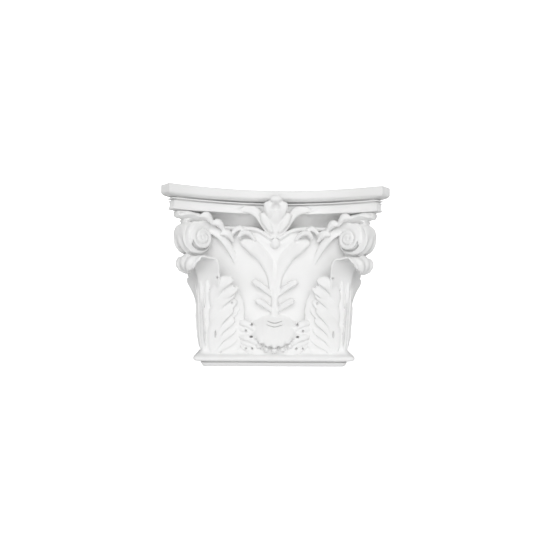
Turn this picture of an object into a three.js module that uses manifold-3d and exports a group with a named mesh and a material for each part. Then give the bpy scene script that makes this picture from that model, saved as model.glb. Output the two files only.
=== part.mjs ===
// A flat-backed corinthian pilaster capital, moulded in one piece.
// Millimetres, +Z up, +X to the right, the front faces -Y. While it is shaped the wall plane is y = 0.
import * as THREE from "three";
import { mergeVertices } from "three/addons/utils/BufferGeometryUtils.js";
import Module from "manifold-3d";

const manifold = await Module();
manifold.setup();

// Driving dimensions
const WIDTH = 412; // across the horns of the abacus
const HEIGHT = 335.5;
const DEPTH = 116; // from the wall to the front of the horns
const NECK_WIDTH = 282;
const NECK_DEPTH = 52;
const NECK_CORNER = 9; // rounding of the neck's front corners
const ABACUS_SAG = 50; // how far the concave front of the abacus draws back at its middle
const ABACUS_HEIGHT = 43;
const HORN_CHAMFER = 20;
const HORN_TAPER = 0.44; // how much of each inset the end of the front curve gives way
const TORUS_RISE = 18.7; // height of the middle of the ring at the foot
const TORUS_RADIUS = 5.6;
const TORUS_OUTSET = 7.4; // how far the middle of that ring stands out from the neck
const LIP_HEIGHT = 268; // top of the bell
const LIP_OUTSET = 13.5;
const VOLUTE_HEIGHT = 244; // height of a volute's middle
const VOLUTE_RADIUS = 29.5;
const VOLUTE_HALF_THICKNESS = 26;
const VOLUTE_SLOPE = 0.1; // how fast the two faces of a volute draw together outwards
const LEAF_THICKNESS = 6;

// The front and the side of each horn mirror each other across the line x + y = DIAGONAL
const DIAGONAL = WIDTH / 2 - DEPTH;
const VOLUTE_CENTRE = [156, -66];
const INV_SQRT2 = Math.SQRT1_2;
const CURVE_STEPS = 6; // straight pieces in half of the abacus front
const CORNER_STEPS = 2;
const THINNEST = 0.5; // half thickness left at the tip of a blade
const WALL_BLOCK = 600;
const MERGE_DISTANCE = 1e-4; // corners closer than this are one corner

const lerp = (a, b, t) => a + (b - a) * t;

// What is carved on the front, and the same turned onto the return
const FACES = [
  { turn: (p) => p, lean: (d) => d },
  { turn: ([x, y, z]) => [DIAGONAL - y, DIAGONAL - x, z], lean: ([x, y, z]) => [-y, -x, z] },
];
const onReturn = FACES[1].turn;

const smoothStep = (t) => t * t * (3 - 2 * t);

// A closed body as a solid, its faces turned out.
function solidOf(positions, triangles) {
  const geometry = new THREE.BufferGeometry();
  geometry.setAttribute("position", new THREE.Float32BufferAttribute(positions.flat(), 3));
  geometry.setIndex(triangles.flat());
  return solidOfGeometry(geometry);
}

function solidOfGeometry(geometry) {
  const bare = geometry.clone();
  bare.deleteAttribute("normal");
  bare.deleteAttribute("uv");
  const merged = mergeVertices(bare, MERGE_DISTANCE);
  const vertProperties = new Float32Array(merged.attributes.position.array);
  const triVerts = new Uint32Array(merged.index.array);
  const make = () => new manifold.Manifold(new manifold.Mesh({ numProp: 3, vertProperties, triVerts }));
  const made = make();
  if (made.volume() > 0) return made;
  for (let i = 0; i < triVerts.length; i += 3) {
    const first = triVerts[i];
    triVerts[i] = triVerts[i + 1];
    triVerts[i + 1] = first;
  }
  return make();
}

// Rings with the same number of points each, joined into one closed skin. A flat level end is
// cut into triangles by its own outline, and any other end is a fan round its middle.
function loft(rings, levelEnds = false) {
  const count = rings[0].length;
  const positions = rings.flat();
  const triangles = [];
  for (let r = 0; r + 1 < rings.length; r++) {
    for (let k = 0; k < count; k++) {
      const a = r * count + k;
      const b = r * count + ((k + 1) % count);
      triangles.push([a, b, b + count], [a, b + count, a + count]);
    }
  }
  const ends = [
    [0, true],
    [rings.length - 1, false],
  ];
  for (const [row, flip] of ends) {
    const start = row * count;
    const turn = ([a, b, c]) => (flip ? [a, c, b] : [a, b, c]);
    if (levelEnds) {
      const outline = rings[row].map(([x, y]) => new THREE.Vector2(x, y));
      const signed = THREE.ShapeUtils.area(outline) > 0;
      for (const face of THREE.ShapeUtils.triangulateShape(outline, [])) {
        const [a, b, c] = face.map((k) => start + k);
        triangles.push(turn(signed ? [a, b, c] : [a, c, b]));
      }
    } else {
      const middle = positions.length;
      const sum = rings[row].reduce((s, p) => s.map((v, i) => v + p[i]), [0, 0, 0]);
      positions.push(sum.map((v) => v / count));
      for (let k = 0; k < count; k++) {
        triangles.push(turn([start + k, start + ((k + 1) % count), middle]));
      }
    }
  }
  return solidOf(positions, triangles);
}

const smoothPath = (points) =>
  new THREE.CatmullRomCurve3(
    points.map((p) => new THREE.Vector3(...p)),
    false,
    "catmullrom",
    0.5,
  );

// The value at t of a list spread evenly from 0 to 1.
function along(list, t) {
  const at = Math.min(list.length - 1.000001, Math.max(0, t * (list.length - 1)));
  const i = Math.floor(at);
  return lerp(list[i], list[i + 1], smoothStep(at - i));
}

// A tapering rounded bar along a path: widths are half widths, heights stand proud of the path
// towards `up`, and one buried edge lies `sunk` the other way. A fade above 1 lets its sides run out softly.
function blade(points, { widths, heights, sunk = 6, up = [0, -1, 0], fade = 1, steps = 4, facets = 4 }) {
  const curve = smoothPath(points);
  const rings = [];
  for (let i = 0; i <= steps; i++) {
    const t = i / steps;
    const middle = curve.getPoint(t);
    const ahead = curve.getTangent(t);
    const upward = new THREE.Vector3(...up);
    upward.addScaledVector(ahead, -upward.dot(ahead)).normalize();
    const across = new THREE.Vector3().crossVectors(ahead, upward);
    const width = Math.max(THINNEST, along(widths, t));
    const height = Math.max(THINNEST, along(heights, t));
    const place = (side, rise) =>
      middle.clone().addScaledVector(across, side).addScaledVector(upward, rise).toArray();
    const ring = [];
    for (let k = 0; k <= facets; k++) {
      const angle = (k / facets) * Math.PI;
      ring.push(place(width * Math.cos(angle), height * Math.sin(angle) ** fade));
    }
    ring.push(place(0, -sunk));
    rings.push(ring);
  }
  return loft(rings);
}

// A thin curved sheet: place(u, v) gives its middle surface for u and v from 0 to 1.
function sheet(place, rows, columns, thickness) {
  const at = (u, v) => new THREE.Vector3(...place(u, v));
  const eps = 1e-3;
  const faces = [[], []];
  for (let i = 0; i <= rows; i++) {
    for (let j = 0; j <= columns; j++) {
      const u = i / rows;
      const v = j / columns;
      const alongU = at(Math.min(1, u + eps), v).sub(at(Math.max(0, u - eps), v));
      const alongV = at(u, Math.min(1, v + eps)).sub(at(u, Math.max(0, v - eps)));
      const normal = alongU.cross(alongV).normalize();
      const middle = at(u, v);
      faces[0].push(middle.clone().addScaledVector(normal, thickness / 2).toArray());
      faces[1].push(middle.clone().addScaledVector(normal, -thickness / 2).toArray());
    }
  }
  const positions = faces.flat();
  const half = faces[0].length;
  const triangles = [];
  const index = (i, j) => i * (columns + 1) + j;
  for (let i = 0; i < rows; i++) {
    for (let j = 0; j < columns; j++) {
      const [a, b, c, d] = [index(i, j), index(i + 1, j), index(i + 1, j + 1), index(i, j + 1)];
      triangles.push([a, b, c], [a, c, d]);
      triangles.push([a + half, c + half, b + half], [a + half, d + half, c + half]);
    }
  }
  const edge = [];
  for (let i = 0; i < rows; i++) edge.push(index(i, 0));
  for (let j = 0; j < columns; j++) edge.push(index(rows, j));
  for (let i = rows; i > 0; i--) edge.push(index(i, columns));
  for (let j = columns; j > 0; j--) edge.push(index(0, j));
  edge.forEach((a, k) => {
    const b = edge[(k + 1) % edge.length];
    triangles.push([a, a + half, b + half], [a, b + half, b]);
  });
  return solidOf(positions, triangles);
}

function ball(centre, radii) {
  const sphere = new THREE.SphereGeometry(1, 6, 4);
  sphere.scale(...radii);
  sphere.translate(...centre);
  return solidOfGeometry(sphere);
}

// The same piece on the right (side 1) and, mirrored, on the left (side -1).
const bothSides = (make) => [1, -1].flatMap((side) => make((p) => [side * p[0], p[1], p[2]], side));

// Neck, ring at the foot, and bell
function bodyOutline(outset) {
  const halfWidth = NECK_WIDTH / 2 + outset;
  const depth = NECK_DEPTH + outset;
  const radius = NECK_CORNER;
  const right = [[halfWidth, 0]];
  for (let i = 0; i <= CORNER_STEPS; i++) {
    const angle = (i / CORNER_STEPS) * (Math.PI / 2);
    right.push([
      halfWidth - radius + radius * Math.cos(angle),
      -(depth - radius) - radius * Math.sin(angle),
    ]);
  }
  const left = right.map(([x, y]) => [-x, y]).reverse();
  return [...right, ...left];
}

function body() {
  const torus = [-60, -25, 10, 45, 75].map((degrees) => {
    const angle = THREE.MathUtils.degToRad(degrees);
    return [
      TORUS_RISE + TORUS_RADIUS * Math.sin(angle),
      TORUS_OUTSET + TORUS_RADIUS * Math.cos(angle),
    ];
  });
  const profile = [
    [0, -3.5],
    [8.5, 1],
    [9.5, -2],
    [12.5, -2],
    ...torus,
    [25.5, 5],
    [29.5, 1.4],
    [36, 0],
    [110, 0],
    [180, 1],
    [220, 4],
    [245, 8],
    [LIP_HEIGHT - 8, LIP_OUTSET - 1.5],
    [LIP_HEIGHT - 3, LIP_OUTSET],
    [LIP_HEIGHT, LIP_OUTSET - 3],
    [LIP_HEIGHT + 1, -22],
    [HEIGHT - ABACUS_HEIGHT + 2, -1],
  ];
  return loft(
    profile.map(([z, outset]) => bodyOutline(outset).map(([x, y]) => [x, y, z])),
    true,
  );
}

// Abacus: concave front and returns, horns cut off at 45 degrees
function abacusOutline(inset) {
  const reach = WIDTH / 2 - HORN_CHAMFER - HORN_TAPER * inset;
  const front = (x) => [x, -(DEPTH - inset) + ABACUS_SAG * (1 - (x / reach) ** 2)];
  const right = [];
  const sideSteps = CURVE_STEPS / 3;
  for (let i = 0; i <= sideSteps; i++) {
    const [x, y] = front(lerp(DIAGONAL, reach, i / sideSteps));
    right.push([DIAGONAL - y, DIAGONAL - x]);
  }
  for (let i = 0; i < CURVE_STEPS; i++) right.push(front(reach * (1 - i / CURVE_STEPS)));
  const left = right.map(([x, y]) => [-x, y]).reverse();
  return [...right, front(0), ...left];
}

function abacus() {
  const profile = [
    [0, 0],
    [14.8, 0],
    [17.5, 3],
    [19.8, 9],
    [20, 18],
    [22.7, 18],
    [22.9, 11],
    [24.7, 11],
    [24.9, 18],
    [27.2, 18],
    [27.4, 12],
    [33, 14],
    [ABACUS_HEIGHT, 11.5],
  ];
  return loft(
    profile.map(([drop, inset]) => abacusOutline(inset).map(([x, y]) => [x, y, HEIGHT - drop])),
    true,
  );
}

// Volutes: a point from distances outwards along the diagonal, upwards, and towards the front face
function volutePoint(outward, upward, across) {
  return [
    VOLUTE_CENTRE[0] + (outward - across) * INV_SQRT2,
    VOLUTE_CENTRE[1] - (outward + across) * INV_SQRT2,
    VOLUTE_HEIGHT + upward,
  ];
}

const voluteHalf = (outward) => VOLUTE_HALF_THICKNESS - VOLUTE_SLOPE * outward;

function voluteDrum(place) {
  const turns = 12;
  const across = [-1, -0.5, 0, 0.5, 1];
  const swell = [-1.5, 1.4, -1.4, 1.4, -1.5];
  const rings = across.map((share, row) =>
    Array.from({ length: turns }, (_, k) => {
      const angle = (k / turns) * 2 * Math.PI;
      const radius = VOLUTE_RADIUS + swell[row];
      const outward = radius * Math.sin(angle);
      const inner = voluteHalf(outward) - 2.5;
      return place(volutePoint(outward, radius * Math.cos(angle), share * inner));
    }),
  );
  return loft(rings);
}

// One band of the spiral: it rises from the bell as a stalk, crosses the top of the volute and coils in.
function voluteBand(place, { turn, lean }) {
  const eyeShift = -6;
  const turns = 2.1;
  const steps = 24;
  const startAngle = -0.75;
  const startRadius = 25;
  const decay = 0.15;
  const stalk = [
    [70, -50, 190],
    [82, -60, 218],
    [99, -70, 247],
  ];
  const coil = [];
  for (let i = 0; i <= steps; i++) {
    const turned = (i / steps) * (turns * 2 * Math.PI);
    const angle = startAngle + turned;
    const radius = startRadius * Math.exp(-decay * turned);
    const outward = eyeShift + radius * Math.sin(angle);
    const lift = 5 * smoothStep(i / steps);
    coil.push(volutePoint(outward, radius * Math.cos(angle) + 0.5, voluteHalf(outward) - 2 + lift));
  }
  const points = [...stalk, ...coil].map(turn).map(place);
  return blade(points, {
    widths: [4, 9, 7.5, 5.8, 5.4, 5, 4.4, 3.8, 3.4, 3, 2.8, 2.8],
    heights: [2, 4, 4, 3, 3, 3, 3],
    sunk: 7,
    up: place(lean([-0.3, -0.95, 0])),
    steps: 12,
    facets: 2,
  });
}

function volutes() {
  return bothSides((place) => [
    voluteDrum(place),
    ...FACES.map((face) => voluteBand(place, face)),
    ball(place(volutePoint(-6, 0.5, VOLUTE_HALF_THICKNESS + 1)), [5.4, 5.4, 5.4]),
    ball(place(volutePoint(-6, 0.5, -VOLUTE_HALF_THICKNESS - 1)), [5.4, 5.4, 5.4]),
    // the backing that carries the volute between its leaves, its shoulder, and the leaf under the horn
    blade(
      [
        [-10, -39],
        [-10, 2],
        [-8, 46],
      ].map(([outward, upward]) => place(volutePoint(outward, upward, 0))),
      { widths: [12, 14, 15], heights: [14, 16, 18], sunk: 22, up: place([1, -1, 0]), steps: 2, facets: 2 },
    ),
    blade(
      [
        [-4, 22],
        [12, 25],
        [22, 19],
        [26.5, 8],
        [28, -4],
      ].map(([outward, upward]) => place(volutePoint(outward, upward, 0))),
      { widths: [12, 19, 21, 20, 16], heights: [2, 4, 5, 4, 1], up: place([1, -1, 1]) },
    ),
    blade(
      [
        [132, -42, 264],
        [148, -58, 278],
        [165, -75, 284],
        [176, -86, 285],
        [181, -91, 284],
      ].map(place),
      { widths: [30, 31, 24, 15, 10], heights: [8, 11, 9, 8, 7], sunk: 7, up: [0, 0, 1] },
    ),
    ...[
      [114, -82, 268],
      [94, -75, 256],
      [78, -69, 238],
    ].map(([x, y, z]) =>
      blade(
        [
          [x, y, z],
          [x + 11, y - 5, z + 15],
          [x + 25, y - 6, z + 13],
        ].map(place),
        { widths: [3, 7.5, 3], heights: [3, 7, 3], sunk: 8, steps: 2, facets: 2 },
      ),
    ),
  ]);
}

// Corner leaves: a broad body with overlapping lobes of fingers over it, on the front and on the return.
// A lobe is given by its highest and lowest finger, and the highest one stands the most proud.
const LOW_FINGER = 2.4;

function lobeFingers({ highest, lowest, count, proud }, widths) {
  return Array.from({ length: count }, (_, k) => {
    const share = k / (count - 1);
    const height = lerp(proud, LOW_FINGER, share ** 0.6);
    return {
      points: highest.map((p, i) => p.map((value, axis) => lerp(value, lowest[i][axis], share))),
      widths,
      heights: [height * 0.6, height, height, height * 0.5],
      sunk: 10,
      steps: 3,
      facets: 2,
    };
  });
}

function cornerLobes() {
  const body = {
    points: [
      [108, -47, 22],
      [106, -49, 60],
      [105, -52, 110],
      [108, -56, 152],
    ],
    widths: [34, 46, 49, 40],
    heights: [3, 8, 10, 8],
    sunk: 9,
    fade: 2,
  };
  const lobes = [
    {
      highest: [
        [118, -62, 116],
        [112, -67, 144],
        [98, -74, 162],
        [77, -78, 168],
      ],
      lowest: [
        [117, -60, 106],
        [106, -65, 131],
        [90, -71, 145],
        [68, -75, 154],
      ],
      count: 2,
      proud: 4,
    },
    {
      highest: [
        [119, -60, 76],
        [111, -63, 112],
        [96, -67, 132],
        [74, -70, 141],
      ],
      lowest: [
        [117, -58, 64],
        [103, -60, 86],
        [88, -62, 101],
        [67, -62, 115],
      ],
      count: 2,
      proud: 5.5,
    },
    {
      highest: [
        [121, -57, 34],
        [114, -62, 74],
        [100, -66, 99],
        [77, -68, 112],
      ],
      lowest: [
        [120, -51, 21],
        [106, -52, 26],
        [90, -53, 32],
        [68, -53, 38],
      ],
      count: 3,
      proud: 5.5,
    },
  ];
  const fingers = lobes.flatMap((lobe) => lobeFingers(lobe, [6, 11, 12, 6]));
  return bothSides((place) =>
    FACES.flatMap(({ turn, lean }) =>
      [body, ...fingers].map(({ points, ...shape }) =>
        blade(points.map(turn).map(place), { ...shape, up: place(lean([0.15, -1, 0])) }),
      ),
    ),
  );
}

// The upper part of a corner leaf: a hollow wing on each side of the corner, whose tip curls over
// under the volute. The wing on the return flares further.
function cornerTips() {
  const midrib = [
    [140, -50, 104],
    [141, -51, 130],
    [143, -53, 158],
    [147, -57, 182],
    [153, -63, 198],
    [161, -71, 208],
    [168, -78, 206],
    [169, -79, 193],
    [162, -72, 179],
  ];
  const curledEdge = [
    [116, -91, 208],
    [130, -96, 207],
    [138, -97, 200],
    [144, -94, 194],
  ];
  const frontEdge = [
    [114, -57, 104],
    [106, -63, 130],
    [103, -77, 158],
    [102, -80, 178],
    [103, -86, 198],
    ...curledEdge,
  ];
  const returnEdge = [
    [118, -58, 104],
    [113, -68, 130],
    [106, -84, 160],
    [105, -84, 177],
    [106, -88, 197],
    ...curledEdge,
  ];
  const hollow = 4; // how far each wing sags inwards
  const swell = 5; // how far each half of the curled tip bulges outwards
  const outwards = [0.4, -0.9, 0];
  return bothSides((place) => {
    const middle = smoothPath(midrib);
    const front = smoothPath(frontEdge);
    const side = smoothPath(returnEdge.map(onReturn));
    return sheet(
      (u, v) => {
        const share = Math.abs(v - 0.5) * 2;
        const face = FACES[v > 0.5 ? 0 : 1];
        const outer = (v > 0.5 ? front : side).getPoint(u);
        const rolled = smoothStep(THREE.MathUtils.clamp(u * 3 - 1.6, 0, 1));
        const bulge = Math.sin(share * Math.PI) * lerp(-hollow, swell, rolled);
        const direction = new THREE.Vector3(...face.lean(outwards));
        const point = middle.getPoint(u).lerp(outer, share).addScaledVector(direction, bulge);
        return place(point.toArray());
      },
      8,
      6,
      LEAF_THICKNESS,
    );
  });
}

// Middle of the front: stem, two pairs of small leaves, and the pair of scroll leaves
function stemAndLeaves() {
  const stem = blade(
    [
      [0, -53, 92],
      [0, -55, 130],
      [0, -55, 165],
      [0, -54, 205],
    ],
    { widths: [7, 6.5, 8, 4], heights: [4, 6, 5, 1] },
  );
  const pairs = bothSides((place) => [
    blade(
      [
        [3, -54, 128],
        [7, -54, 172],
        [20, -55, 208],
        [42, -58, 230],
        [66, -64, 240],
      ].map(place),
      { widths: [4, 8, 14, 16, 7], heights: [3, 6, 8, 10, 5], sunk: 10, up: place([-0.25, -1, 0.35]), steps: 6 },
    ),
    blade(
      [
        [36, -64, 240],
        [50, -68, 254],
        [62, -70, 254],
        [70, -70, 244],
      ].map(place),
      { widths: [3, 5, 5, 3], heights: [3, 6, 6, 3], steps: 3, facets: 2 },
    ),
    blade(
      [
        [56, -66, 258],
        [68, -68, 264],
        [78, -70, 256],
        [82, -70, 246],
      ].map(place),
      { widths: [3, 5, 4, 2], heights: [2, 4, 4, 2], steps: 3, facets: 2 },
    ),
    ...[
      [136, 45, 165],
      [107, 38, 129],
    ].map(([base, reach, tip]) =>
      blade(
        [
          [4, -55, base],
          [reach * 0.42, -59, lerp(base, tip, 0.5)],
          [reach * 0.8, -62, lerp(base, tip, 0.9)],
          [reach, -61, tip - 1],
        ].map(place),
        { widths: [3, 6, 6.5, 2], heights: [3, 5, 6, 3], up: place([-0.15, -1, 0.3]), steps: 3, facets: 2 },
      ),
    ),
  ]);
  return [stem, ...pairs];
}

// The top of the low leaf folds forward into a hanging fringe.
function lowFold() {
  const halfWidth = 48;
  const top = 105;
  const fringe = 40;
  const buried = 4; // how far its back lies inside the neck
  const reach = 22;
  const columns = 14;
  // the outline of the fold from the side: share of the reach, and share of the way down to the fringe
  const section = [
    [0, 0],
    [0.3, 0.1],
    [0.75, 0.38],
    [1, 0.75],
    [0.92, 1],
    [0.6, 0.97],
    [0, 0.8],
  ];
  const rings = Array.from({ length: columns + 1 }, (_, j) => {
    const across = (2 * j) / columns - 1;
    const dent = j % 2 ? 0 : 4;
    const forward = buried + reach * (1 - across ** 4);
    const upper = top - 24 * across ** 2;
    const lower = fringe + 23 * Math.abs(across) ** 1.7 + dent;
    return section.map(([share, down]) => [
      across * halfWidth,
      buried - NECK_DEPTH - share * forward,
      lerp(upper, lower, down),
    ]);
  });
  return loft(rings);
}

// The low leaf in the middle: its core, its fold and its side lobes
function lowLeaf() {
  const core = blade(
    [
      [0, -50, 20],
      [0, -53, 44],
      [0, -55, 72],
      [0, -58, 96],
    ],
    { widths: [24, 30, 36, 22], heights: [2, 5, 8, 4], sunk: 9 },
  );
  const lobes = [
    {
      highest: [
        [28, -55, 66],
        [40, -59, 77],
        [54, -61, 85],
        [67, -60, 86],
      ],
      lowest: [
        [32, -55, 56],
        [44, -58, 61],
        [56, -59, 65],
        [68, -58, 67],
      ],
      count: 2,
      proud: 6.5,
    },
    {
      highest: [
        [26, -54, 40],
        [38, -58, 51],
        [52, -60, 58],
        [67, -58, 60],
      ],
      lowest: [
        [26, -53, 30],
        [38, -56, 35],
        [52, -57, 39],
        [64, -55, 42],
      ],
      count: 2,
      proud: 6.5,
    },
  ];
  const fingers = lobes.flatMap((lobe) => lobeFingers(lobe, [4, 6.5, 7, 4]));
  const sideLobes = bothSides((place) =>
    fingers.map(({ points, ...shape }) => blade(points.map(place), shape)),
  );
  return [lowFold(), core, ...sideLobes];
}

// The flower on the middle of the abacus, the bud below it and the ribbon leaves beside it
function fleuron() {
  const cup = blade(
    [
      [0, -56, 244],
      [0, -60, 260],
      [0, -65, 278],
      [0, -70, 294],
    ],
    { widths: [5, 17, 28, 33], heights: [3, 6, 6, 3], sunk: 16, steps: 3 },
  );
  const flower = blade(
    [
      [0, -60, 262],
      [0, -68, 282],
      [0, -76, 300],
      [0, -82, 316],
    ],
    { widths: [8, 15, 19, 14], heights: [3, 7, 6, 3], sunk: 16, steps: 3 },
  );
  const petals = bothSides((place) =>
    [
      { tip: [17, -80, 312], width: 6.5 },
      { tip: [24, -72, 293], width: 7 },
    ].map(({ tip: [x, y, z], width }) =>
      blade(
        [
          [x * 0.25, -66, z - 38],
          [x * 0.75, y + 3, z - 16],
          [x, y, z],
        ].map(place),
        { widths: [4, width + 1.5, width], heights: [3, 6, 4], sunk: 12, steps: 3, facets: 2 },
      ),
    ),
  );
  const knob = ball([0, -84, 316], [11, 6, 7]);
  const bud = ball([0, -60, 235.5], [9, 8.5, 9]);
  const ribbons = bothSides((place) =>
    blade(
      [
        [5, -58, 250],
        [21, -61, 270],
        [30, -62, 287],
        [40.5, -62, 297],
        [54, -60, 300],
        [67, -59, 299],
      ].map(place),
      { widths: [4, 6, 8, 9, 7, 3], heights: [3, 4, 4.5, 5, 4, 3], sunk: 15, steps: 5, facets: 2 },
    ),
  );
  return [cup, flower, ...petals, knob, bud, ...ribbons];
}

// Everything behind the wall plane is cut off flat.
function wallBlock() {
  const block = new THREE.BoxGeometry(WALL_BLOCK, WALL_BLOCK, WALL_BLOCK);
  block.translate(0, WALL_BLOCK / 2, HEIGHT / 2);
  return solidOfGeometry(block);
}

function capitalSolid() {
  const pieces = [
    body(),
    abacus(),
    ...volutes(),
    ...cornerLobes(),
    ...cornerTips(),
    ...stemAndLeaves(),
    ...lowLeaf(),
    ...fleuron(),
  ];
  const joined = pieces.reduce((whole, piece) => whole.add(piece)).subtract(wallBlock());
  // The moulding has no hidden hollows: the largest shell is the whole of it.
  return joined.decompose().reduce((a, b) => (b.volume() > a.volume() ? b : a));
}

function geometryOf(solid) {
  const mesh = solid.getMesh();
  const geometry = new THREE.BufferGeometry();
  geometry.setAttribute("position", new THREE.BufferAttribute(new Float32Array(mesh.vertProperties), 3));
  geometry.setIndex(Array.from(mesh.triVerts));
  const merged = mergeVertices(geometry, MERGE_DISTANCE);
  const corners = merged.index.array;
  const kept = [];
  for (let i = 0; i < corners.length; i += 3) {
    const [a, b, c] = corners.slice(i, i + 3);
    if (a !== b && b !== c && c !== a) kept.push(a, b, c);
  }
  merged.setIndex(kept);
  const flat = merged.toNonIndexed();
  flat.computeVertexNormals();
  return flat;
}

const moulding = new THREE.MeshStandardMaterial({ color: 0xf2f2f2, roughness: 0.75, metalness: 0 });
const capital = new THREE.Mesh(geometryOf(capitalSolid()), moulding);
capital.name = "capital";
capital.position.y = DEPTH / 2;

const group = new THREE.Group();
group.add(capital);

export default group;
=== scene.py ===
"""A white moulded corinthian pilaster capital, dressed over its CAD solid.

The carving is shaped in millimetres with the wall plane at y = 0, then moved into the frame in metres.
Paired shapes are made for the right-hand side of the front. Placing functions carry them to the left and
to the return round the corner.
"""
import math

import bmesh
import bpy
import numpy as np
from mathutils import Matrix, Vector


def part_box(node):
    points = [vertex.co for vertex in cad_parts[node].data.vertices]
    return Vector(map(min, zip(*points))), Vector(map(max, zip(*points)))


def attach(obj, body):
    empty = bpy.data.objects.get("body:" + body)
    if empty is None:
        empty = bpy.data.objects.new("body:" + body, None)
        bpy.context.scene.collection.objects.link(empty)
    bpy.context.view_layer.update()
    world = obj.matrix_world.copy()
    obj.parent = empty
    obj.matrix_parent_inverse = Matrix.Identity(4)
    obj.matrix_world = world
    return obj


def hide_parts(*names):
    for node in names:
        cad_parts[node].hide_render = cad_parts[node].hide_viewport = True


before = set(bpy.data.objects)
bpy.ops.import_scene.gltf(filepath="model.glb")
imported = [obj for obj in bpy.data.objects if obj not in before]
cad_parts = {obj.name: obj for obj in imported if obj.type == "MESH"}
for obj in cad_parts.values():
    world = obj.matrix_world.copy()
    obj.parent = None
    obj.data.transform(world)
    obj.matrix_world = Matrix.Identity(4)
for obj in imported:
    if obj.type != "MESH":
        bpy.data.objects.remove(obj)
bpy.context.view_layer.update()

# Driving dimensions, in millimetres, from the frame where it gives them
MM = 0.001
LOW, HIGH = (np.array(corner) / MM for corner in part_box("capital"))
WIDTH, DEPTH, HEIGHT = HIGH - LOW
NECK_WIDTH = 282.0
NECK_DEPTH = 52.0
NECK_CORNER = 9.0  # rounding of the neck's front corners
ABACUS_SAG = 50.0  # how far the concave front of the abacus draws back at its middle
ABACUS_HEIGHT = 43.0
HORN_CHAMFER = 20.0
HORN_TAPER = 0.44  # how much of each inset the end of the front curve gives way
TORUS_RISE = 18.7  # height of the middle of the ring at the foot
TORUS_RADIUS = 5.6
TORUS_OUTSET = 7.4  # how far the middle of that ring stands out from the neck
LIP_HEIGHT = 268.0  # top of the bell
LIP_OUTSET = 13.5
VOLUTE_HEIGHT = 244.0  # height of a volute's middle
VOLUTE_RADIUS = 29.5
VOLUTE_HALF = 26.0  # half thickness of a volute
VOLUTE_SLOPE = 0.1  # how fast the two faces of a volute draw together outwards
VOLUTE_CENTRE = (156.0, -66.0)
LEAF_THICKNESS = 6.0
DIAGONAL = WIDTH / 2 - DEPTH  # front and return mirror each other across the line x + y = DIAGONAL
PAST_WALL = 6.0  # how far shapes run through the wall plane before they are cut off there

# Fineness of the finished mesh
VOXEL = 1.05
FINEST_TRIANGLES = 190000
EDGE_DEGREES = 50.0  # edges sharper than this stay crisp

FRONT = (0.0, -1.0, 0.0)
UPWARD = (0.0, 0.0, 1.0)


# Small helpers
def smooth_step(t):
    t = np.clip(t, 0.0, 1.0)
    return t * t * (3.0 - 2.0 * t)


def mix(a, b, t):
    return a + (b - a) * t


def along(values, t):
    """The value at t of a list spread evenly from 0 to 1."""
    values = np.asarray(values, float)
    at = np.clip(np.asarray(t, float) * (len(values) - 1), 0, len(values) - 1 - 1e-6)
    i = at.astype(int)
    return mix(values[i], values[i + 1], smooth_step(at - i))


def spline(points, t):
    """Points at t of a smooth curve that passes through all of its points, evenly counted from 0 to 1."""
    p = np.asarray(points, float)
    p = np.vstack([2 * p[0] - p[1], p, 2 * p[-1] - p[-2]])
    at = np.clip(np.asarray(t, float) * (len(p) - 3), 0, len(p) - 3 - 1e-6)
    i = at.astype(int)
    s = (at - i)[..., None]
    p0, p1, p2, p3 = p[i], p[i + 1], p[i + 2], p[i + 3]
    return 0.5 * (
        2 * p1
        + (p2 - p0) * s
        + (2 * p0 - 5 * p1 + 4 * p2 - p3) * s**2
        + (3 * p1 - p0 - 3 * p2 + p3) * s**3
    )


def unit(v):
    return v / np.maximum(np.linalg.norm(v, axis=-1, keepdims=True), 1e-9)


# Closed shells, each a pair of vertices and faces
def loft(rings):
    """Rings of equal count joined into one closed skin with fans at its ends."""
    rows, count = rings.shape[:2]
    verts = np.vstack([rings.reshape(-1, 3), rings[0].mean(0), rings[-1].mean(0)])
    faces = []
    for r in range(rows - 1):
        for k in range(count):
            a = r * count + k
            b = r * count + (k + 1) % count
            faces.append((a, b, b + count, a + count))
    last = (rows - 1) * count
    first_middle = rows * count
    for k in range(count):
        n = (k + 1) % count
        faces.append((n, k, first_middle))
        faces.append((last + k, last + n, first_middle + 1))
    return verts, faces


def level_loft(rings):
    """A stack of level outlines whose ends are single flat faces."""
    verts, faces = loft(np.stack(rings))
    count = len(rings[0])
    faces = [f for f in faces if len(f) == 4]
    last = (len(rings) - 1) * count
    faces.append(tuple(range(count))[::-1])
    faces.append(tuple(range(last, last + count)))
    return verts[:-2], faces


END_SHARE = 0.06  # share of its size that a blade keeps at its very ends
GROOVE_WIDTH = 0.3  # of the groove along a blade, as a share of the blade's own
BURIED_WIDTH = 0.9  # of a blade's buried side, likewise


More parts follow.
